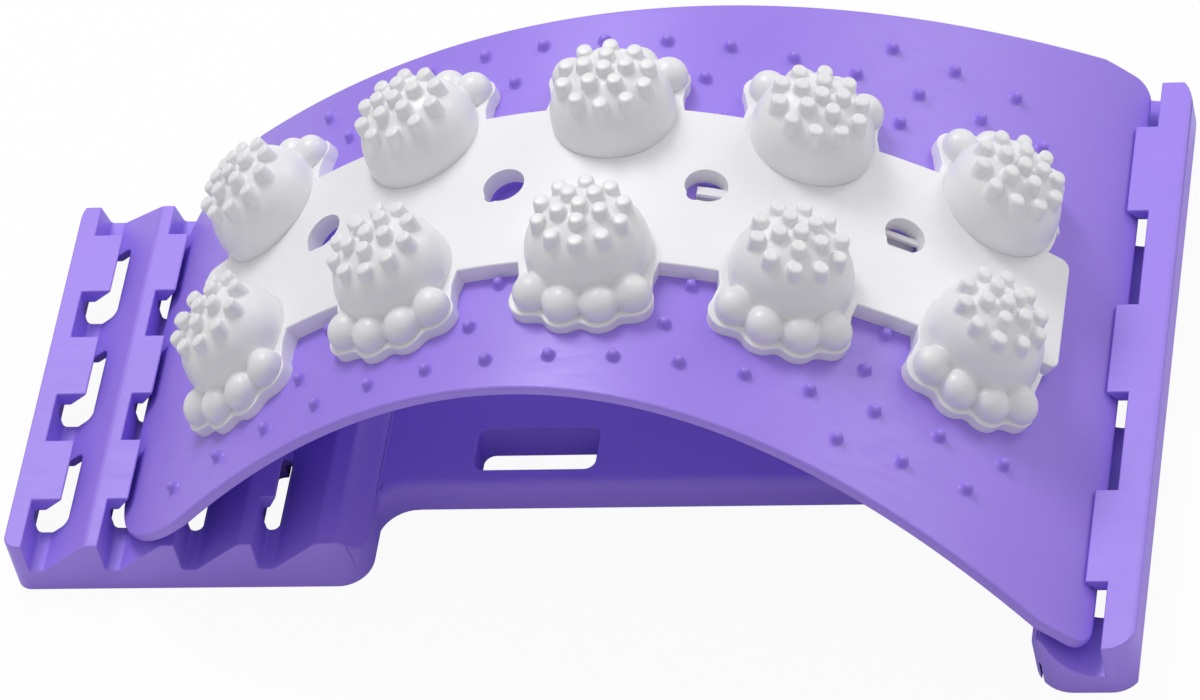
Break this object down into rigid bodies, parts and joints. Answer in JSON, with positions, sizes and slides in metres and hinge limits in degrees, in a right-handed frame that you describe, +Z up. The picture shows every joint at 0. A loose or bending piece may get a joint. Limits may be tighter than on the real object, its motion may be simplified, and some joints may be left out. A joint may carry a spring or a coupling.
{
  "type": "lumbar back stretcher",
  "caption": "Arched lumbar back stretcher: flexed panel with a spiked massage strip, hooked into a base with grooved rows for setting the arch height.",
  "frame": {"origin": "on the floor under the middle of the base's footprint", "axes": "+X towards the wide end that holds the panel's fixed edge, +Y across the device, +Z up"},
  "size_m": [0.38, 0.25, 0.1332],
  "materials": {
    "base_plastic": "satin moulded plastic, purple",
    "panel_plastic": "satin moulded plastic, purple",
    "strip_plastic": "satin moulded plastic, white",
    "head_plastic": "satin moulded plastic, white"
  },
  "bodies": {
    "base": {"base_frame": "base_plastic"},
    "arch": {"arch_board": "panel_plastic", "massage_strip": "strip_plastic", "head_near_1": "head_plastic", "head_near_2": "head_plastic", "head_near_3": "head_plastic", "head_near_4": "head_plastic", "head_near_5": "head_plastic", "head_far_1": "head_plastic", "head_far_2": "head_plastic", "head_far_3": "head_plastic", "head_far_4": "head_plastic", "head_far_5": "head_plastic"}
  },
  "joints": [
    {"name": "arch_lift", "type": "slide", "parent": "base", "child": "arch", "axis": [0, 0, 1], "range_m": [0, 0.15]}
  ]
}
